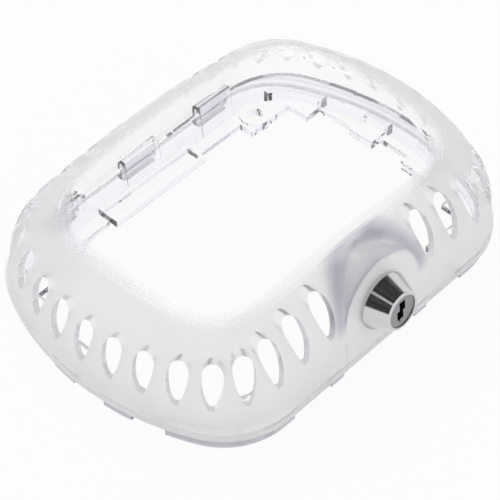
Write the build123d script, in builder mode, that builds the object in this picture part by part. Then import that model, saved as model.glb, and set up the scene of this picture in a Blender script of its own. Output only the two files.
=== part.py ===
"""Thermostat lock box: a clear vented cover hinged on a wall base and shut by a small wafer lock.

Millimetres. The origin is the centre of the four wall screws in the wall plane, +Z leaves the
wall, +Y points to the hinge side and -Y to the lock side. The lock parts are drawn in the lock's
own frame: x along the body, y up the lock pad and z out along the lock's axis.
"""
from build123d import *
from math import atan2, cos, degrees, radians, sin, sqrt
import os

os.makedirs("parts", exist_ok=True)

# ---------------------------------------------------------------- cover
cover_half_length = 78.0        # centre to the wall at the rim, along X
cover_front = 56.0              # centre to the wall at the rim, lock side
cover_back = 57.8               # centre to the wall at the rim, hinge side
cover_corner_radius = 27.0      # lock side
cover_back_corner_radius = 26.5 # hinge side, at the rim
top_back_corner_radius = 36.0   # hinge side, at the top
cover_back_bow_radius = 20000.0 # the hinge side is all but straight at the rim
top_back_bow_radius = 350.0     # and bowed at the top
cover_bow_radius = 95.0         # the two short walls are bowed
cover_wall = 2.0
rim_height = 5.0                # the rim stops this far from the wall plane
crown_height = 44.0             # highest point of the cover, in the middle
crown_radius = 450.0            # the top is slightly arched both ways
shoulder_radius = 24.5          # round edge between the walls and the top
draft_angle = 3.0
bead_out = 0.7                  # bead round the rim
bead_height = 2.2

# ---------------------------------------------------------------- vents
vent_count = 17                 # in each half of the cover
vent_first = 23.5               # from the middle of the lock side, along the wall
vent_last = 24.0                # from the middle of the hinge side
vent_drop = 13.0                # from the crown down to the middle of a vent
vent_arch_radius = 380.0        # the row of vents sinks toward the ends
vent_width = 7.0
vent_height = 14.4
vent_tip = 1.6                  # the lower end is drawn in to this width

# ---------------------------------------------------------------- base
base_half_length = 75.0
base_half_depth = 52.4
base_corner_radius = 25.0
base_bow_radius = 93.0
base_back_bow_radius = 20000.0
base_wall = 1.6
base_height = 12.4
base_flare = 1.5                # the wall leans out by this much
flange_thickness = 2.4
pad_rise = 0.9                  # raised pads on the flange
strap_bottom = 2.1              # the middle strap on the hinge side is raised off the wall
strap_top = 4.8

screw_x = 48.2                  # wall screws, from the centre
screw_y = 44.0
screw_hole_radius = 2.75
screw_boss_radius = 5.6
screw_boss_rise = 0.9

# The flange round the thermostat, half widths and half depths
opening_half_width = 66.8       # beside the end pads
opening_end_width = 69.4        # between the end pads
opening_end_low = -8.0
opening_end_high = 5.0
opening_half_depth = 44.7
opening_screw_x = 41.5          # the flange is deeper at the wall screws
opening_screw_y = 39.0
opening_corner_x = 60.0
opening_corner_y = 30.5
strap_low_x = -22.0
strap_high_x = 20.0
strap_depth = 41.0
end_pad_x = 65.0                # inner edge of the end pads
end_pads = [(-18.5, -8.0), (5.0, 15.0)]     # low and high Y of each

# Feet under the rim
foot_inset = 1.2                # inside the cover's wall
foot_gap = 0.3                  # to the cover's rim
front_foot_low = 17.0           # two small feet beside the lock, along X
front_foot_high = 23.0
front_foot_y = 48.0             # the front and corner feet start here
corner_foot_x = 40.0            # corner feet, lock side
corner_foot_y = 30.0
back_foot_x = 58.0              # corner feet, hinge side
back_foot_low = 31.0
back_foot_high = 49.0

# ---------------------------------------------------------------- hinge
hinge_height = 6.8
hinge_bead_radius = 1.1
hinge_play = 0.35
hook_thickness = 0.95
tab_height = 15.0
tab_proud = 0.3                 # the tabs stand this far out of the wall's inner face
tab_leg = 1.0                   # outer leg, down to the hinge bead
tab_leg_out = 0.1               # its outer face, past the hinge axis
tab_roof = 1.6
tab_half_width = 7.9            # middle tab
side_tab_low = 28.0             # side tabs, along X
side_tab_high = 43.0
hook_side_gap = 1.0             # from the tab's ends to the hook's ends
hook_low_angle = -130.0
hook_high_angle = 40.0

# ---------------------------------------------------------------- lock boss
lock_y = 55.0                   # pad to the centre, on the lock's axis
lock_z = 22.0
lock_tilt = 6.0                 # the lock looks up a little
boss_radius = 17.5
boss_depth = 13.0               # of the block behind the pad
spot_face_margin = 0.6          # flat seat inside, round the nut's washer

# ---------------------------------------------------------------- lock
head_base_radius = 10.0
head_face_radius = 6.9
head_height = 8.0
head_skirt = 0.5
head_edge = 0.35
barrel_radius = 7.0
barrel_length = 15.0
barrel_flats = 12.4             # across the two flats
barrel_play = 0.1
plug_radius = 5.0
plug_play = 0.05
plug_recess = 0.4               # plug face below the head's face
plug_face_radius = 5.8
plug_face_thickness = 1.2
plug_face_gap = 0.3             # behind the plug's face disc
tail_square = 6.0
tail_play = 0.02
keyway_upper = (-1.0, 0.2, 1.6, 3.8)       # x and y of the low and high corner
keyway_lower = (-2.2, -2.8, 0.6, 0.6)
keyway_slit = (-1.4, -3.9, -0.9, -2.8)
keyway_depth = 19.0

wafer_count = 5
wafer_first = 7.5               # from the plug's face to the first wafer
wafer_pitch = 2.6
wafer_thickness = 0.8
wafer_width = 6.2
wafer_end_radius = 4.7
wafer_travel = 0.5
wafer_play = 0.05
wafer_window_width = 4.4
wafer_window_height = 5.0
wafer_window_steps = [0.4, -0.3, 0.6, -0.5, 0.1]    # each wafer has its own cut
wafer_lug_out = 0.9
wafer_lug_height = 1.2
spring_radius = 0.4
spring_length = 1.9
spring_seat_gap = 0.1
groove_width = 6.6
groove_radius = 5.6

nut_flats = 17.0
nut_thickness = 4.0
nut_washer_thickness = 0.9
nut_washer_radius = 9.4
thread_play = 0.05

stop_lug_length = 1.0
stop_lug_angle = 60.0
stop_lug_radius = 5.35
stop_gap = 0.3                  # barrel end to the stop washer
stop_thickness = 1.1
stop_radius = 6.9
stop_notch_radius = 5.0
stop_margin = 3.0               # degrees left at each end of the turn
cam_turn = 90.0
cam_thickness = 1.6
cam_eye_radius = 6.0
cam_arm_width = 8.0
cam_length = 14.0
cam_washer_radius = 5.0
cam_washer_thickness = 0.7
tail_short = 0.1                # the tail stops short of the cam's back
cam_screw_head_radius = 3.3
cam_screw_head_height = 2.2
cam_screw_radius = 1.7
cam_screw_length = 6.0
cam_screw_play = 0.05
screw_slot_width = 0.9
screw_slot_depth = 1.0

# ---------------------------------------------------------------- keeper
keeper_gap = 0.5                # round the cam when it is turned in
keeper_lip = 2.6
keeper_post = 3.0
keeper_reach = 6.5              # of the lip over the cam
keeper_margin = 1.6             # lip past each face of the cam
keeper_pad_side = 3.0           # the keeper's foot, each side of its post
keeper_pad_depth = 37.0         # centre to the inner edge of the foot and the flange under it
keeper_foot_thickness = 1.2
keeper_foot_reach = 9.0         # of the foot over the flange
front_notch_half = 13.0         # the base's wall is low under the lock
front_notch_height = 6.5
edge_margin = 1.0               # how far cutting tools run past a surface


# ---------------------------------------------------------------- worked-out sizes
drawn_in = (crown_height - rim_height) * sin(radians(draft_angle))
hinge_y = cover_back - cover_wall - hinge_play - hinge_bead_radius
hook_inner = hinge_bead_radius + hinge_play
hook_outer = hook_inner + hook_thickness
lock_out = Vector(0, -cos(radians(lock_tilt)), sin(radians(lock_tilt)))
lock_plane = Plane(origin=(0, -lock_y, lock_z), x_dir=(1, 0, 0), z_dir=lock_out)
lock_section = Plane(origin=(0, -lock_y, lock_z), x_dir=(1, 0, 0), z_dir=-lock_plane.y_dir)
lock_axis = Axis((0, -lock_y, lock_z), lock_out)
plug_face = head_height - plug_recess
nut_front = cover_wall + nut_washer_thickness
stop_front = barrel_length + stop_gap
cam_front = stop_front + stop_thickness
cam_back = cam_front + cam_thickness
cam_screw_seat = cam_back + cam_washer_thickness
keeper_x = cam_length + keeper_gap
wall_slope = base_flare / base_height
wall_foot = base_half_depth - base_flare - base_wall
tab_spans = [(-side_tab_high, -side_tab_low), (-tab_half_width, tab_half_width),
             (side_tab_low, side_tab_high)]


# ---------------------------------------------------------------- shared shapes
def half_outline(half_length, front, back, corner, back_corner, bow, back_bow, height):
    """Right half of an outline: straight front, round corners, a bowed end and a bowed back."""
    bow_centre = Vector(half_length - bow, 0)
    back_centre = Vector(0, back - back_bow)
    front_centre_x = bow_centre.X + sqrt((bow - corner) ** 2 - (front - corner) ** 2)
    front_angle = degrees(atan2(front - corner, front_centre_x - bow_centre.X))
    # The back corner touches both bows from inside
    toward_back = back_centre - bow_centre
    bow_reach = bow - back_corner
    back_reach = back_bow - back_corner
    along = (bow_reach ** 2 - back_reach ** 2 + toward_back.length ** 2) / (2 * toward_back.length)
    aside = sqrt(bow_reach ** 2 - along ** 2)
    step = toward_back.normalized()
    corner_centre = bow_centre + step * along + Vector(-step.Y, step.X) * aside
    bow_end = degrees(atan2(corner_centre.Y, corner_centre.X - bow_centre.X))
    corner_end = degrees(atan2(corner_centre.Y - back_centre.Y, corner_centre.X))
    with BuildLine(Plane.XY.offset(height)) as path:
        Line((0, -front), (front_centre_x, -front))
        CenterArc((front_centre_x, corner - front), corner, -90, 90 - front_angle)
        CenterArc((bow_centre.X, 0), bow, -front_angle, front_angle + bow_end)
        CenterArc((corner_centre.X, corner_centre.Y), back_corner, bow_end, corner_end - bow_end)
        CenterArc((0, back_centre.Y), back_bow, corner_end, 90 - corner_end)
    return path.wire()


def outline(half_length, front, back, corner, back_corner, bow, back_bow, height):
    """The whole outline as a face at a height."""
    half = half_outline(half_length, front, back, corner, back_corner, bow, back_bow, 0)
    with BuildSketch(Plane.XY.offset(height)) as sketch:
        with BuildLine():
            add(half)
            mirror(half, about=Plane.YZ)
        make_face()
    return sketch.sketch


def cover_outline(inset, height, back_corner=cover_back_corner_radius, back_bow=cover_back_bow_radius):
    """The cover's outline, drawn in by an inset."""
    return outline(cover_half_length - inset, cover_front - inset, cover_back - inset,
                   cover_corner_radius - inset, back_corner - inset,
                   cover_bow_radius - inset, back_bow - inset, height)


def base_outline(inset, height):
    """The base's outline at a height of its leaning wall, drawn in by an inset."""
    step = inset + base_flare - height * wall_slope
    return outline(base_half_length - step, base_half_depth - step, base_half_depth - step,
                   base_corner_radius - step, base_corner_radius - step,
                   base_bow_radius - step, base_back_bow_radius - step, height)


def box_between(low, high):
    """Box from its low corner to its high corner, in the current part."""
    size = Vector(*high) - Vector(*low)
    with Locations((Vector(*high) + Vector(*low)) * 0.5):
        return Box(size.X, size.Y, size.Z)


def rectangle_between(low_x, low_y, high_x, high_y, mode=Mode.ADD):
    """Rectangle from its low corner to its high corner, in the current sketch."""
    with Locations(((low_x + high_x) / 2, (low_y + high_y) / 2)):
        return Rectangle(high_x - low_x, high_y - low_y, mode=mode)


def polar_point(radius, angle):
    """Point at a radius and an angle round the origin of a sketch."""
    return (radius * cos(radians(angle)), radius * sin(radians(angle)))


def ring_sector(inner, outer, low, high, mode=Mode.ADD):
    """Part of a flat ring between two angles, in the current sketch."""
    with BuildLine() as rim:
        CenterArc((0, 0), inner, low, high - low)
        CenterArc((0, 0), outer, low, high - low)
        Line(polar_point(inner, low), polar_point(outer, low))
        Line(polar_point(inner, high), polar_point(outer, high))
    return make_face(rim.edges(), mode=mode)


def lock_disc(radius, front, back):
    """Round plate square to the lock's axis between two depths behind the pad."""
    with BuildSketch(lock_plane.offset(-front)) as disc:
        Circle(radius)
    return extrude(disc.sketch, amount=front - back)


def dome(inset, low):
    """Solid inside one skin of the cover: drafted walls, arched top and a round shoulder."""
    with BuildPart() as body:
        add(cover_outline(inset, low))
        add(cover_outline(inset + drawn_in, crown_height + edge_margin,
                          top_back_corner_radius, top_back_bow_radius))
        loft()
        with Locations((0, 0, crown_height - crown_radius)):
            Sphere(crown_radius - inset, mode=Mode.INTERSECT)
        upper = body.edges().filter_by(lambda edge: edge.center().Z > crown_height / 2)
        fillet(upper.filter_by(lambda edge: abs(edge.tangent_at(0.5).Z) < 0.3), shoulder_radius - inset)
    return body.part


def lock_boss(inset, low):
    """Arch-shaped block behind the lock pad, down to a height and inside the cover's wall."""
    with BuildPart() as body:
        with BuildSketch(lock_plane.offset(-inset)):
            Circle(boss_radius - inset)
            Rectangle(2 * (boss_radius - inset), 2 * lock_z, align=(Align.CENTER, Align.MAX))
        extrude(amount=-boss_depth)
        extrude(cover_outline(inset, low), amount=crown_height, mode=Mode.INTERSECT)
    return body.part


def vent_cutters():
    """Tools for every vent, square to the wall and following the arch of the top."""
    path = half_outline(cover_half_length, cover_front, cover_back, cover_corner_radius,
                        cover_back_corner_radius, cover_bow_radius, cover_back_bow_radius, 0)
    pitch = (path.length - vent_first - vent_last) / (vent_count - 1)
    side_top = (vent_height - vent_width) / 2
    with BuildPart() as body:
        for index in range(vent_count):
            distance = vent_first + index * pitch
            spot = path.position_at(distance, position_mode=PositionMode.LENGTH)
            along = path.tangent_at(distance, position_mode=PositionMode.LENGTH)
            height = crown_height - spot.X ** 2 / (2 * vent_arch_radius) - vent_drop
            outward = Vector(along.Y, -along.X, 0)
            face = Plane(origin=(spot.X, spot.Y, height), x_dir=along, z_dir=outward)
            with BuildSketch(face):
                with BuildLine():
                    CenterArc((0, side_top), vent_width / 2, 0, 180)
                    for side in (-1, 1):
                        TangentArc((side * vent_width / 2, side_top),
                                   (side * vent_tip / 2, -vent_height / 2), tangent=(0, -1))
                    Line((vent_tip / 2, -vent_height / 2), (-vent_tip / 2, -vent_height / 2))
                make_face()
            extrude(amount=shoulder_radius, both=True)
        mirror(about=Plane.YZ)
    return body.part


# ---------------------------------------------------------------- cover
with BuildPart() as cover:
    add(dome(0, rim_height))
    extrude(cover_outline(-bead_out, rim_height), amount=bead_height)
    add(lock_boss(0, rim_height))
    add(dome(cover_wall, rim_height - edge_margin), mode=Mode.SUBTRACT)
    add(lock_boss(cover_wall, rim_height - edge_margin), mode=Mode.SUBTRACT)
    add(vent_cutters(), mode=Mode.SUBTRACT)
    with BuildSketch(lock_plane):
        Circle(boss_radius)
    extrude(amount=head_height, mode=Mode.SUBTRACT)
    with BuildSketch(lock_plane):
        Circle(barrel_radius + barrel_play)
        Rectangle(barrel_flats + 2 * barrel_play, 3 * barrel_radius, mode=Mode.INTERSECT)
    extrude(amount=-2 * cover_wall, mode=Mode.SUBTRACT)
    with BuildSketch(lock_plane.offset(-cover_wall)):
        Circle(nut_washer_radius + spot_face_margin)
    extrude(amount=-nut_thickness, mode=Mode.SUBTRACT)
    for low_x, high_x in tab_spans:
        hook_end = Plane(origin=(low_x + hook_side_gap, hinge_y, hinge_height),
                         x_dir=(0, 1, 0), z_dir=(1, 0, 0))
        with BuildSketch(hook_end):
            ring_sector(hook_inner, hook_outer, hook_low_angle, hook_high_angle)
        extrude(amount=high_x - low_x - 2 * hook_side_gap)
cover.part.label = "cover"

# ---------------------------------------------------------------- base
with BuildPart() as foot_zones:
    for side in (-1, 1):
        for low_y, high_y in end_pads:
            box_between((min(side * end_pad_x, side * cover_half_length), low_y, 0),
                        (max(side * end_pad_x, side * cover_half_length), high_y, rim_height))
    mirror_zones = [((front_foot_low, -cover_front), (front_foot_high, -front_foot_y)),
                    ((corner_foot_x, -cover_front), (cover_half_length, -front_foot_y)),
                    ((back_foot_x, -cover_front), (cover_half_length, -corner_foot_y)),
                    ((back_foot_x, back_foot_low), (cover_half_length, back_foot_high))]
    for low, high in mirror_zones:
        box_between((*low, 0), (*high, rim_height))
        box_between((-high[0], low[1], 0), (-low[0], high[1], rim_height))

with BuildPart() as feet:
    extrude(cover_outline(foot_inset, 0), amount=rim_height - foot_gap)
    add(foot_zones.part, mode=Mode.INTERSECT)
    extrude(base_outline(base_wall, 0), amount=rim_height, mode=Mode.SUBTRACT)

with BuildPart() as tabs:
    for low_x, high_x in tab_spans:
        with BuildSketch(Plane.YZ.offset(low_x)):
            with BuildLine():
                Polyline(
                    (wall_foot - tab_proud, 0),
                    (wall_foot + wall_slope * tab_height - tab_proud, tab_height),
                    (hinge_y + tab_leg_out, tab_height),
                    (hinge_y + tab_leg_out, hinge_height),
                    (hinge_y + tab_leg_out - tab_leg, hinge_height),
                    (hinge_y + tab_leg_out - tab_leg, tab_height - tab_roof),
                    (wall_foot + wall_slope * (tab_height - tab_roof) + base_wall, tab_height - tab_roof),
                    (wall_foot + base_wall, 0),
                    close=True,
                )
            make_face()
            with Locations((hinge_y, hinge_height)):
                Circle(hinge_bead_radius)
        extrude(amount=high_x - low_x)

with BuildPart() as keeper:
    with BuildSketch(lock_plane.offset(keeper_margin - cam_front)):
        rectangle_between(keeper_x, -2 * lock_z, keeper_x + keeper_post,
                          cam_arm_width / 2 + keeper_gap + keeper_lip)
        rectangle_between(cam_length - keeper_reach, cam_arm_width / 2 + keeper_gap,
                          keeper_x + keeper_post, cam_arm_width / 2 + keeper_gap + keeper_lip)
    extrude(amount=-cam_thickness - 2 * keeper_margin)
    split(bisect_by=Plane.XY.offset(flange_thickness))
    box_between((keeper_x - keeper_pad_side, -keeper_pad_depth - keeper_foot_reach, flange_thickness),
                (keeper_x + keeper_post + keeper_pad_side, -keeper_pad_depth,
                 flange_thickness + keeper_foot_thickness))
keeper.part.label = "keeper"

with BuildPart() as base:
    add(base_outline(0, 0))
    add(base_outline(0, base_height))
    loft()
    add(base_outline(base_wall, flange_thickness))
    add(base_outline(base_wall, base_height + edge_margin))
    loft(mode=Mode.SUBTRACT)
    with BuildSketch():
        Rectangle(2 * opening_corner_x, 2 * opening_screw_y)
        Rectangle(2 * opening_screw_x, 2 * opening_half_depth)
        Rectangle(2 * opening_half_width, 2 * opening_corner_y)
        rectangle_between(-opening_end_width, opening_end_low, opening_end_width, opening_end_high)
        rectangle_between(strap_low_x, strap_depth, strap_high_x, wall_foot)
    extrude(amount=flange_thickness, mode=Mode.SUBTRACT)
    box_between((strap_low_x, strap_depth, strap_bottom),
                (strap_high_x, wall_foot + base_wall / 2, strap_top))
    for side in (-1, 1):
        for low_y, high_y in end_pads:
            ends = sorted((side * end_pad_x, side * (base_half_length - base_flare - base_wall / 2)))
            box_between((ends[0], low_y, 0), (ends[1], high_y, flange_thickness + pad_rise))
    with GridLocations(2 * screw_x, 2 * screw_y, 2, 2):
        Cylinder(screw_boss_radius, flange_thickness + screw_boss_rise,
                 align=(Align.CENTER, Align.CENTER, Align.MIN))
    add(feet.part)
    add(tabs.part)
    with BuildSketch(Plane.XY.offset(front_notch_height)):
        rectangle_between(-front_notch_half, -cover_front, front_notch_half, -wall_foot + base_wall)
    extrude(amount=base_height, mode=Mode.SUBTRACT)
    box_between((keeper_x - keeper_pad_side, -wall_foot - base_wall / 2, 0),
                (keeper_x + keeper_post + keeper_pad_side, -keeper_pad_depth, flange_thickness))
    with GridLocations(2 * screw_x, 2 * screw_y, 2, 2):
        Hole(screw_hole_radius)
base.part.label = "base"

# ---------------------------------------------------------------- lock housing
with BuildPart() as lock_housing:
    with BuildSketch(lock_section):
        with BuildLine():
            Polyline(
                (plug_radius + plug_play, -barrel_length),
                (plug_radius + plug_play, plug_face - plug_face_thickness - plug_face_gap),
                (plug_face_radius + plug_play, plug_face - plug_face_thickness - plug_face_gap),
                (plug_face_radius + plug_play, head_height),
                (head_face_radius - head_edge, head_height),
                (head_face_radius, head_height - head_edge),
                (head_base_radius, head_skirt),
                (head_base_radius, 0),
                (barrel_radius, 0),
                (barrel_radius, -barrel_length),
                close=True,
            )
        make_face()
    revolve(axis=lock_axis)
    with BuildSketch(lock_plane.offset(-barrel_length)):
        ring_sector(stop_lug_radius, barrel_radius, 90 - stop_lug_angle / 2, 90 + stop_lug_angle / 2)
    extrude(amount=-stop_lug_length)
    with BuildSketch(lock_plane):
        Circle(2 * barrel_radius)
        Rectangle(barrel_flats, 4 * barrel_radius, mode=Mode.SUBTRACT)
    extrude(amount=-barrel_length, mode=Mode.SUBTRACT)
    with BuildSketch(lock_plane.offset(plug_face - wafer_first + wafer_pitch)):
        Circle(groove_radius)
        Rectangle(groove_width, 2 * groove_radius, mode=Mode.INTERSECT)
    extrude(amount=-wafer_pitch * (wafer_count + 1), mode=Mode.SUBTRACT)
    with BuildSketch(lock_plane.offset(plug_face - wafer_first + wafer_pitch)):
        Circle(groove_radius)
        Rectangle(2 * groove_radius, groove_width, mode=Mode.INTERSECT)
    extrude(amount=-wafer_pitch * (wafer_count + 1), mode=Mode.SUBTRACT)
lock_housing.part.label = "lock_housing"

with BuildPart() as nut_washer:
    with BuildSketch(lock_plane.offset(-cover_wall)):
        Circle(nut_washer_radius)
        Circle(barrel_radius + thread_play, mode=Mode.SUBTRACT)
    extrude(amount=-nut_washer_thickness)
nut_washer.part.label = "nut_washer"

with BuildPart() as mounting_nut:
    with BuildSketch(lock_plane.offset(-nut_front)):
        RegularPolygon(nut_flats / 2, 6, major_radius=False)
        Circle(barrel_radius + thread_play, mode=Mode.SUBTRACT)
    extrude(amount=-nut_thickness)
mounting_nut.part.label = "mounting_nut"

# ---------------------------------------------------------------- plug, wafers and springs
wafer_tops = [plug_face - wafer_first - index * wafer_pitch for index in range(wafer_count)]
lug_right = wafer_width / 2 + wafer_lug_out
spring_x = lug_right - spring_radius - wafer_play
spring_foot = -spring_length - spring_seat_gap

with BuildPart() as lock_plug:
    with BuildSketch(lock_plane.offset(plug_face)):
        Circle(plug_face_radius)
    extrude(amount=-plug_face_thickness)
    lock_disc(plug_radius, plug_face_thickness - plug_face, stop_front)
    with BuildSketch(lock_plane.offset(-stop_front)):
        Rectangle(tail_square, tail_square)
    extrude(amount=stop_front + tail_short - cam_back)
    with BuildSketch(lock_plane.offset(plug_face)):
        rectangle_between(*keyway_upper)
        rectangle_between(*keyway_lower)
        rectangle_between(*keyway_slit)
    extrude(amount=-keyway_depth, mode=Mode.SUBTRACT)
    for top in wafer_tops:
        with BuildSketch(lock_plane.offset(top + wafer_play)):
            Rectangle(wafer_width + 2 * wafer_play, 2 * plug_face_radius)
            rectangle_between(0, spring_foot, lug_right + wafer_play,
                              wafer_lug_height + wafer_travel + wafer_play)
        extrude(amount=-wafer_thickness - 2 * wafer_play, mode=Mode.SUBTRACT)
    with BuildSketch(lock_plane.offset(-cam_back)):
        Circle(cam_screw_radius + cam_screw_play)
    extrude(amount=cam_screw_length, mode=Mode.SUBTRACT)
lock_plug.part.label = "lock_plug"

wafers = []
springs = []
for index, top in enumerate(wafer_tops):
    with BuildPart() as wafer:
        with BuildSketch(lock_plane.offset(top)):
            Circle(wafer_end_radius)
            Rectangle(wafer_width, 2 * wafer_end_radius, mode=Mode.INTERSECT)
            rectangle_between(0, 0, lug_right, wafer_lug_height)
            with Locations((0, wafer_window_steps[index])):
                Rectangle(wafer_window_width, wafer_window_height, mode=Mode.SUBTRACT)
        extrude(amount=-wafer_thickness)
    wafer.part.label = f"wafer_{index + 1}"
    wafers.append(wafer.part)
    seat = lock_plane.from_local_coords((spring_x, spring_foot, top - wafer_thickness / 2))
    with BuildPart() as spring:
        with BuildSketch(Plane(origin=seat, x_dir=(1, 0, 0), z_dir=lock_plane.y_dir)):
            Circle(spring_radius)
        extrude(amount=spring_length)
    spring.part.label = f"wafer_spring_{index + 1}"
    springs.append(spring.part)

# ---------------------------------------------------------------- cam and its fixings
with BuildPart() as stop_washer:
    with BuildSketch(lock_plane.offset(-stop_front)):
        Circle(stop_radius)
        ring_sector(stop_notch_radius, 2 * stop_radius,
                    90 + stop_lug_angle / 2 + stop_margin - stop_lug_angle - cam_turn - 2 * stop_margin,
                    90 + stop_lug_angle / 2 + stop_margin, mode=Mode.SUBTRACT)
        Rectangle(tail_square + 2 * tail_play, tail_square + 2 * tail_play, mode=Mode.SUBTRACT)
    extrude(amount=-stop_thickness)
stop_washer.part.label = "stop_washer"

with BuildPart() as cam:
    with BuildSketch(lock_plane.offset(-cam_front)):
        Circle(cam_eye_radius)
        rectangle_between(-cam_arm_width / 2, cam_arm_width / 2 - cam_length, cam_arm_width / 2, 0)
        with Locations((0, cam_arm_width / 2 - cam_length)):
            Circle(cam_arm_width / 2)
        Rectangle(tail_square + 2 * tail_play, tail_square + 2 * tail_play, mode=Mode.SUBTRACT)
    extrude(amount=-cam_thickness)
cam.part.label = "cam"

with BuildPart() as cam_washer:
    with BuildSketch(lock_plane.offset(-cam_back)):
        Circle(cam_washer_radius)
        Circle(cam_screw_radius + cam_screw_play, mode=Mode.SUBTRACT)
    extrude(amount=-cam_washer_thickness)
cam_washer.part.label = "cam_washer"

with BuildPart() as cam_screw:
    lock_disc(cam_screw_head_radius, cam_screw_seat, cam_screw_seat + cam_screw_head_height)
    lock_disc(cam_screw_radius, cam_screw_seat - cam_screw_length, cam_screw_seat)
    with BuildSketch(lock_plane.offset(-cam_screw_seat - cam_screw_head_height)):
        Rectangle(3 * cam_screw_head_radius, screw_slot_width)
    extrude(amount=screw_slot_depth, mode=Mode.SUBTRACT)
cam_screw.part.label = "cam_screw"

for piece in (base, keeper, cover, lock_housing, nut_washer, mounting_nut, lock_plug, stop_washer, cam,
              cam_washer, cam_screw):
    export_step(piece.part, f"parts/{piece.part.label}.step")
for small_piece in wafers + springs:
    export_step(small_piece, f"parts/{small_piece.label}.step")
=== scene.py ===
"""Looks of the thermostat lock box: frosted cover with a clear window, clear base and chrome lock."""

import bpy
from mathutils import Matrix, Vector

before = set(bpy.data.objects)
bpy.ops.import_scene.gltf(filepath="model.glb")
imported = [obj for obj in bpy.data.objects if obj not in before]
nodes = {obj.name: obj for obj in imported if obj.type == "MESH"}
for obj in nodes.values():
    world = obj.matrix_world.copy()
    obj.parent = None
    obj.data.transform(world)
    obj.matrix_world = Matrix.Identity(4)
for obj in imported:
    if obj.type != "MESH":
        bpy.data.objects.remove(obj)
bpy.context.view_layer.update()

# ---------------------------------------------------------------- camera
CAMERA_PLACE = (-0.3600, -0.3342, 0.5314)
CAMERA_TARGET = (-0.0010, 0.0005, 0.0050)
CAMERA_LENS = 158.4
CAMERA_SENSOR = 36.0

camera_data = bpy.data.cameras.new("camera")
camera_data.lens = CAMERA_LENS
camera_data.sensor_width = CAMERA_SENSOR
camera_data.clip_end = 20.0
camera = bpy.data.objects.new("camera", camera_data)
bpy.context.scene.collection.objects.link(camera)
camera.location = CAMERA_PLACE
look = Vector(CAMERA_TARGET) - Vector(CAMERA_PLACE)
camera.rotation_euler = look.to_track_quat("-Z", "Y").to_euler()
bpy.context.scene.camera = camera
bpy.context.scene.view_settings.view_transform = "Standard"

# ---------------------------------------------------------------- sizes the paint follows, metres
WINDOW_HALF_LENGTH = 0.0590     # polished window in the cover
WINDOW_HALF_DEPTH = 0.0410
WINDOW_SHARPNESS = 4.3
WINDOW_EDGE = (0.75, 1.35)      # share of the window's reach over which the frost sets in
WINDOW_SPECKLE = 0.5
SPECKLE_SCALE = 2500.0
FROST_BELOW = 0.0300            # under this height all but the vent walls is frosted
COVER_HALF_LENGTH = 0.0780
COVER_HALF_DEPTH = 0.0565
VENT_LOW = 0.0200
VENT_TOP = 0.0375
VENT_WALL_FACING = 0.33         # a vent wall's normal has less than this outward or inward
OUTER_LIFT = 0.6                # weight of facing up in telling outer faces from inner ones
BOSS_HALF_WIDTH = 0.0190
BOSS_BACK = -0.0400
# Painted shade on the boss's top: a darker ring standing for the shading of the blend that the solid lacks
BOSS_SHADE_INNER = (0.0162, 0.0178)
BOSS_SHADE_OUTER = (0.0240, 0.0185)
BOSS_SHADE_RISE = 0.0040         # the painted shade fades in over this height either side of the lock's middle, so it lies on the upper part
LOCK_HEIGHT = 0.0220
MILKY_HEIGHTS = (0.0220, 0.0360)
MILKY_SHARES = (0.55, 0.42)     # matt share of the frosted outer faces, low and high
FOOT_TOP = 0.0070
FOOT_FACING = 0.3
FOOT_HAZE = 0.7
UPRIGHT_FACING = (0.75, 0.35)

# ---------------------------------------------------------------- plastics
INDEX_CLEAR = 1.45
INDEX_FROSTED = 1.20
INDEX_BASE = 1.36
POLISHED = 0.02
FROST_ROUGHNESS = 0.40
FROST_GRAIN = 6000.0
BASE_GRAIN = 900.0
BASE_GLOSS_SCALE = 400.0
BASE_GLOSS_SPREAD = 0.06
KEEPER_GLOSS_SCALE = 500.0
KEEPER_GLOSS = (0.1, 0.25)
NOISE_MIDDLE = (0.3, 0.7)       # the part of a noise that a change of gloss is spread over
FINE_RELIEF = 0.00002
FROST_BUMP = 0.4
BASE_BUMP = 0.3
COVER_COLOUR = (0.998, 0.998, 1.0, 1)
VENT_WALL_COLOUR = (0.93, 0.93, 0.985, 1)
# painted shade: darker lavender-grey round the top of the boss, in place of the blend's shading
BOSS_PAINTED_SHADE_COLOUR = (0.66, 0.65, 0.72, 1)
BASE_COLOUR = (0.995, 0.995, 1.0, 1)
# upright faces: the plastic's lavender tone, darkened as painted shade for the dark bands that refraction
# gives their edges
BASE_UPRIGHT_SHADE_COLOUR = (0.93, 0.93, 0.975, 1)
# the feet's outer faces: painted lavender-grey shade in place of the grey that refraction and shade give
# clear feet
FOOT_SHADE_COLOUR = (0.78, 0.77, 0.83, 1)
KEEPER_COLOUR = (0.86, 0.86, 0.90, 1)
KEEPER_TRANSMISSION = 0.35

# name: colour, lowest and highest roughness
METALS = {
    "chrome": ((0.62, 0.62, 0.63), 0.05, 0.13),
    "plug_nickel": ((0.30, 0.30, 0.31), 0.25, 0.4),
    "zinc_plated_steel": ((0.80, 0.81, 0.83), 0.3, 0.5),
    "spring_steel": ((0.5, 0.5, 0.52), 0.2, 0.35),
    "wafer_brass": ((0.78, 0.64, 0.36), 0.25, 0.4),
}
METAL_GRAIN = 900.0
METAL_RELIEF = 0.00001
METAL_BUMP = 0.5
METAL_DETAIL = (4.0, 0.6)       # detail and roughness of its noise


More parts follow.
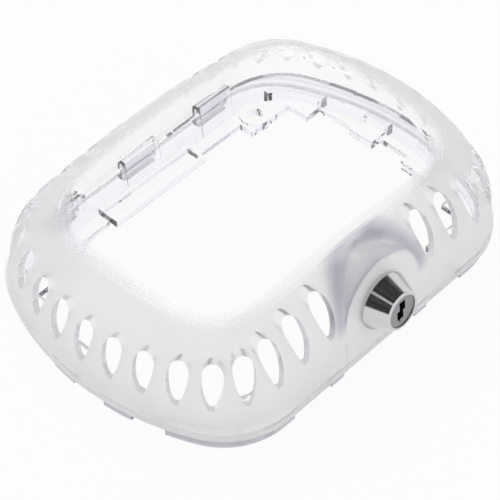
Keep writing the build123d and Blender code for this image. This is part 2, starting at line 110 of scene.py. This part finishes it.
# ---------------------------------------------------------------- shader helpers
class Shader:
    """A material with a Principled shader and short calls for its nodes."""

    def __init__(self, name):
        self.material = bpy.data.materials.new(name)
        self.material.use_nodes = True
        self.tree = self.material.node_tree
        self.bsdf = self.tree.nodes["Principled BSDF"]

    def node(self, kind):
        return self.tree.nodes.new(kind)

    def feed(self, socket, value):
        if isinstance(value, bpy.types.NodeSocket):
            self.tree.links.new(value, socket)
        else:
            socket.default_value = value

    def math(self, operation, *values):
        step = self.node("ShaderNodeMath")
        step.operation = operation
        for socket, value in zip(step.inputs, values):
            self.feed(socket, value)
        return step.outputs[0]

    def vector(self, operation, *values):
        step = self.node("ShaderNodeVectorMath")
        step.operation = operation
        for socket, value in zip(step.inputs, values):
            self.feed(socket, value)
        return step.outputs["Value" if operation in ("DOT_PRODUCT", "LENGTH") else "Vector"]

    def place(self):
        return self.node("ShaderNodeTexCoord").outputs["Object"]

    def facing(self):
        return self.node("ShaderNodeTexCoord").outputs["Normal"]

    def axes(self, vector):
        split = self.node("ShaderNodeSeparateXYZ")
        self.feed(split.inputs[0], vector)
        return split.outputs

    def outward(self, x, y):
        """Level direction away from the middle of the box, squared off like its outline."""
        out = self.node("ShaderNodeCombineXYZ")
        self.feed(out.inputs[0], self.math("DIVIDE", self.math("POWER", x, 3.0), COVER_HALF_LENGTH ** 4))
        self.feed(out.inputs[1], self.math("DIVIDE", self.math("POWER", y, 3.0), COVER_HALF_DEPTH ** 4))
        return self.vector("NORMALIZE", out.outputs[0])

    def ramp(self, value, low, high, start=0.0, end=1.0):
        """Smooth step from start to end while the value goes from low to high."""
        step = self.node("ShaderNodeMapRange")
        step.interpolation_type = "SMOOTHSTEP"
        for name, number in (("Value", value), ("From Min", low), ("From Max", high),
                             ("To Min", start), ("To Max", end)):
            self.feed(step.inputs[name], number)
        return step.outputs["Result"]

    def noise(self, scale, detail=2.0, roughness=0.5):
        texture = self.node("ShaderNodeTexNoise")
        self.feed(texture.inputs["Vector"], self.place())
        self.feed(texture.inputs["Scale"], scale)
        self.feed(texture.inputs["Detail"], detail)
        self.feed(texture.inputs["Roughness"], roughness)
        return texture.outputs["Fac"]

    def blend(self, amount, first, second):
        mix = self.node("ShaderNodeMix")
        mix.data_type = "RGBA"
        self.feed(mix.inputs["Factor"], amount)
        self.feed(mix.inputs["A"], first)
        self.feed(mix.inputs["B"], second)
        return mix.outputs["Result"]

    def bump(self, height, distance, strength=1.0):
        relief = self.node("ShaderNodeBump")
        self.feed(relief.inputs["Height"], height)
        self.feed(relief.inputs["Distance"], distance)
        self.feed(relief.inputs["Strength"], strength)
        self.tree.links.new(relief.outputs[0], self.bsdf.inputs["Normal"])

    def set(self, **values):
        for name, value in values.items():
            self.feed(self.bsdf.inputs[name.replace("_", " ")], value)


def paint(obj, material):
    obj.data.materials.clear()
    obj.data.materials.append(material)


# ---------------------------------------------------------------- materials
def cover_plastic():
    """Frosted outside a polished window, with polished vent walls."""
    shader = Shader("frosted_clear_plastic")
    x, y, z = shader.axes(shader.place())
    across = shader.math("POWER", shader.math("DIVIDE", shader.math("ABSOLUTE", x), WINDOW_HALF_LENGTH),
                         WINDOW_SHARPNESS)
    along = shader.math("POWER", shader.math("DIVIDE", shader.math("ABSOLUTE", y), WINDOW_HALF_DEPTH),
                        WINDOW_SHARPNESS)
    speckle = shader.math("MULTIPLY", shader.math("SUBTRACT", shader.noise(SPECKLE_SCALE), 0.5),
                          WINDOW_SPECKLE)
    reach = shader.math("ADD", shader.math("ADD", across, along), speckle)
    frosted = shader.math("MAXIMUM", shader.ramp(reach, *WINDOW_EDGE),
                          shader.math("LESS_THAN", z, FROST_BELOW))

    # Vent walls are told by facing neither outward nor inward, at the height of the vents
    side = shader.vector("DOT_PRODUCT", shader.facing(), shader.outward(x, y))
    lifted = shader.math("MULTIPLY_ADD", shader.axes(shader.facing())[2], OUTER_LIFT, side)
    outer = shader.math("GREATER_THAN", lifted, 0.0)
    level = shader.math("MULTIPLY", shader.math("LESS_THAN", z, VENT_TOP),
                        shader.math("GREATER_THAN", z, VENT_LOW))
    lock_side = shader.math("LESS_THAN", y, BOSS_BACK)
    boss = shader.math("MULTIPLY", lock_side,
                       shader.math("LESS_THAN", shader.math("ABSOLUTE", x), BOSS_HALF_WIDTH))
    sideways = shader.math("LESS_THAN", shader.math("ABSOLUTE", side), VENT_WALL_FACING)
    vent_wall = shader.math("MULTIPLY", shader.math("MULTIPLY", sideways, level),
                            shader.math("SUBTRACT", 1.0, boss))
    frosted = shader.math("MULTIPLY", frosted, shader.math("SUBTRACT", 1.0, vent_wall))

    # Painted shade: a soft darker ring round the top of the boss stands for the shading of the blend that
    # the solid lacks
    rise = shader.math("SUBTRACT", z, LOCK_HEIGHT)
    ring = shader.math("SQRT", shader.math("ADD", shader.math("POWER", x, 2.0),
                                           shader.math("POWER", rise, 2.0)))
    shade_ring = shader.math("MULTIPLY", shader.ramp(ring, *BOSS_SHADE_INNER), shader.ramp(ring, *BOSS_SHADE_OUTER))
    boss_painted_shade = shader.math("MULTIPLY", shader.math("MULTIPLY", shade_ring, lock_side),
                       shader.ramp(z, LOCK_HEIGHT - BOSS_SHADE_RISE, LOCK_HEIGHT + BOSS_SHADE_RISE))

    colour = shader.blend(vent_wall, COVER_COLOUR, VENT_WALL_COLOUR)
    # painted shade round the top of the boss
    colour = shader.blend(boss_painted_shade, colour, BOSS_PAINTED_SHADE_COLOUR)
    milky = shader.math("MULTIPLY", shader.math("MULTIPLY", frosted, outer),
                        shader.ramp(z, *MILKY_HEIGHTS, *MILKY_SHARES))
    shader.set(Base_Color=colour,
               IOR=shader.math("MULTIPLY_ADD", frosted, INDEX_FROSTED - INDEX_CLEAR, INDEX_CLEAR),
               Roughness=shader.math("MULTIPLY_ADD", frosted, FROST_ROUGHNESS, POLISHED),
               Transmission_Weight=shader.math("SUBTRACT", 1.0, milky))
    shader.bump(shader.math("MULTIPLY", shader.noise(FROST_GRAIN), frosted), FINE_RELIEF, FROST_BUMP)
    return shader.material


def base_plastic():
    """Clear, with painted shade on upright faces (the plastic's lavender tone, darkened); the feet are
    painted a pale grey shade outside, as clear ones render partly black.
    """
    shader = Shader("clear_plastic")
    x, y, z = shader.axes(shader.place())
    upright = shader.ramp(shader.math("ABSOLUTE", shader.axes(shader.facing())[2]), *UPRIGHT_FACING)
    side = shader.vector("DOT_PRODUCT", shader.facing(), shader.outward(x, y))
    foot = shader.math("MULTIPLY", shader.math("LESS_THAN", z, FOOT_TOP),
                       shader.math("GREATER_THAN", side, FOOT_FACING))
    # painted shade: upright faces darker lavender
    colour = shader.blend(upright, BASE_COLOUR, BASE_UPRIGHT_SHADE_COLOUR)
    # painted grey shade on the feet's outer faces
    colour = shader.blend(foot, colour, FOOT_SHADE_COLOUR)
    shader.set(Base_Color=colour, IOR=INDEX_BASE,
               Transmission_Weight=shader.math("MULTIPLY_ADD", foot, -FOOT_HAZE, 1.0),
               Roughness=shader.math("MULTIPLY_ADD", shader.noise(BASE_GLOSS_SCALE),
                                     BASE_GLOSS_SPREAD, POLISHED))
    shader.bump(shader.noise(BASE_GRAIN), FINE_RELIEF, BASE_BUMP)
    return shader.material


def keeper_plastic():
    """Hazy, as a clear keeper renders black at its foot and the top of its post."""
    shader = Shader("keeper_plastic")
    shader.set(Base_Color=KEEPER_COLOUR, Transmission_Weight=KEEPER_TRANSMISSION, IOR=INDEX_BASE,
               Roughness=shader.ramp(shader.noise(KEEPER_GLOSS_SCALE), *NOISE_MIDDLE, *KEEPER_GLOSS))
    shader.bump(shader.noise(BASE_GRAIN), FINE_RELIEF, BASE_BUMP)
    return shader.material


def metal(name):
    """Metal with fine wear in its gloss."""
    colour, smoothest, roughest = METALS[name]
    shader = Shader(name)
    wear = shader.noise(METAL_GRAIN, *METAL_DETAIL)
    shader.set(Base_Color=(*colour, 1), Metallic=1.0,
               Roughness=shader.ramp(wear, *NOISE_MIDDLE, smoothest, roughest))
    shader.bump(wear, METAL_RELIEF, METAL_BUMP)
    return shader.material


# Start of a node's name: its material; the first that fits is taken
finishes = {"cover": cover_plastic(), "base": base_plastic(), "keeper": keeper_plastic(),
            "lock_housing": metal("chrome"), "lock_plug": metal("plug_nickel"),
            "wafer_spring": metal("spring_steel"), "wafer": metal("wafer_brass"),
            "": metal("zinc_plated_steel")}
for name, obj in nodes.items():
    paint(obj, next(finish for start, finish in finishes.items() if name.startswith(start)))

# ---------------------------------------------------------------- floor and light
FLOOR_SIZE = 8.0
FLOOR_HEIGHT = -0.0002
FLOOR_COLOUR = (0.95, 0.95, 0.95, 1)
FLOOR_ROUGHNESS = 0.9
FLOOR_WHITE = 0.93              # share of plain white that camera, glossy and transmission rays see

bpy.ops.mesh.primitive_plane_add(size=FLOOR_SIZE, location=(0, 0, FLOOR_HEIGHT))
floor = bpy.context.object
floor.name = "floor"
floor_shader = Shader("floor")
floor_shader.set(Base_Color=FLOOR_COLOUR, Roughness=FLOOR_ROUGHNESS)
emission = floor_shader.node("ShaderNodeEmission")
path = floor_shader.node("ShaderNodeLightPath")
mix = floor_shader.node("ShaderNodeMixShader")
seen = floor_shader.math("MAXIMUM", floor_shader.math("MAXIMUM", path.outputs["Is Camera Ray"],
                                                      path.outputs["Is Glossy Ray"]),
                         path.outputs["Is Transmission Ray"])
floor_shader.feed(mix.inputs[0], floor_shader.math("MULTIPLY", seen, FLOOR_WHITE))
floor_shader.tree.links.new(floor_shader.bsdf.outputs[0], mix.inputs[1])
floor_shader.tree.links.new(emission.outputs[0], mix.inputs[2])
floor_shader.tree.links.new(mix.outputs[0], floor_shader.tree.nodes["Material Output"].inputs["Surface"])
paint(floor, floor_shader.material)

# The room is white, with one dark strip that has a round white gap in it; every ray sees the same
DARK_SIDE = (-0.124, -0.60, 0.75)
DARK_EDGE = (0.30, 0.38)        # cosines from where the dark begins to where it is full
STRIP_EDGES = (-0.50, -0.42, -0.06, 0.02)   # Y of the direction at which the strip fades in and out
WHITE_GAP = (-0.48, -0.34, 0.80)
GAP_EDGE = (0.987, 0.994)
STRIP_GREY = 0.01
MOTTLE = 0.35
MOTTLE_SCALE = 9.0
MOTTLE_DETAIL = 3.0
MOTTLE_CONTRAST = 3.0

world = bpy.data.worlds.new("world")
world.use_nodes = True
bpy.context.scene.world = world
tree = world.node_tree
background = tree.nodes["Background"]


def world_math(operation, *values):
    step = tree.nodes.new("ShaderNodeMath")
    step.operation = operation
    for socket, value in zip(step.inputs, values):
        if isinstance(value, bpy.types.NodeSocket):
            tree.links.new(value, socket)
        else:
            socket.default_value = value
    return step.outputs[0]


def world_step(value, edge):
    """Smooth step from 0 to 1 while the value crosses the edge."""
    shade = tree.nodes.new("ShaderNodeMapRange")
    shade.interpolation_type = "SMOOTHSTEP"
    shade.inputs["From Min"].default_value, shade.inputs["From Max"].default_value = edge
    tree.links.new(value, shade.inputs["Value"])
    return shade.outputs["Result"]


def toward(side, edge):
    """1 where the direction lies toward the side, 0 elsewhere."""
    turn = tree.nodes.new("ShaderNodeVectorMath")
    turn.operation = "DOT_PRODUCT"
    turn.inputs[1].default_value = Vector(side).normalized()
    tree.links.new(direction, turn.inputs[0])
    return world_step(turn.outputs["Value"], edge)


direction = tree.nodes.new("ShaderNodeTexCoord").outputs["Generated"]
split = tree.nodes.new("ShaderNodeSeparateXYZ")
tree.links.new(direction, split.inputs[0])
strip = world_math("MULTIPLY", world_step(split.outputs["Y"], STRIP_EDGES[:2]),
                   world_math("SUBTRACT", 1.0, world_step(split.outputs["Y"], STRIP_EDGES[2:])))
dark = world_math("MULTIPLY", world_math("MULTIPLY", strip, toward(DARK_SIDE, DARK_EDGE)),
                  world_math("SUBTRACT", 1.0, toward(WHITE_GAP, GAP_EDGE)))
mottle = tree.nodes.new("ShaderNodeTexNoise")
mottle.inputs["Scale"].default_value = MOTTLE_SCALE
mottle.inputs["Detail"].default_value = MOTTLE_DETAIL
tree.links.new(direction, mottle.inputs["Vector"])
grey = world_math("MULTIPLY_ADD", world_math("POWER", mottle.outputs["Fac"], MOTTLE_CONTRAST),
                  MOTTLE, STRIP_GREY)
loss = world_math("SUBTRACT", 1.0, grey)
strength = world_math("SUBTRACT", 1.0, world_math("MULTIPLY", dark, loss))
tree.links.new(strength, background.inputs["Strength"])
background.inputs["Color"].default_value = (1, 1, 1, 1)
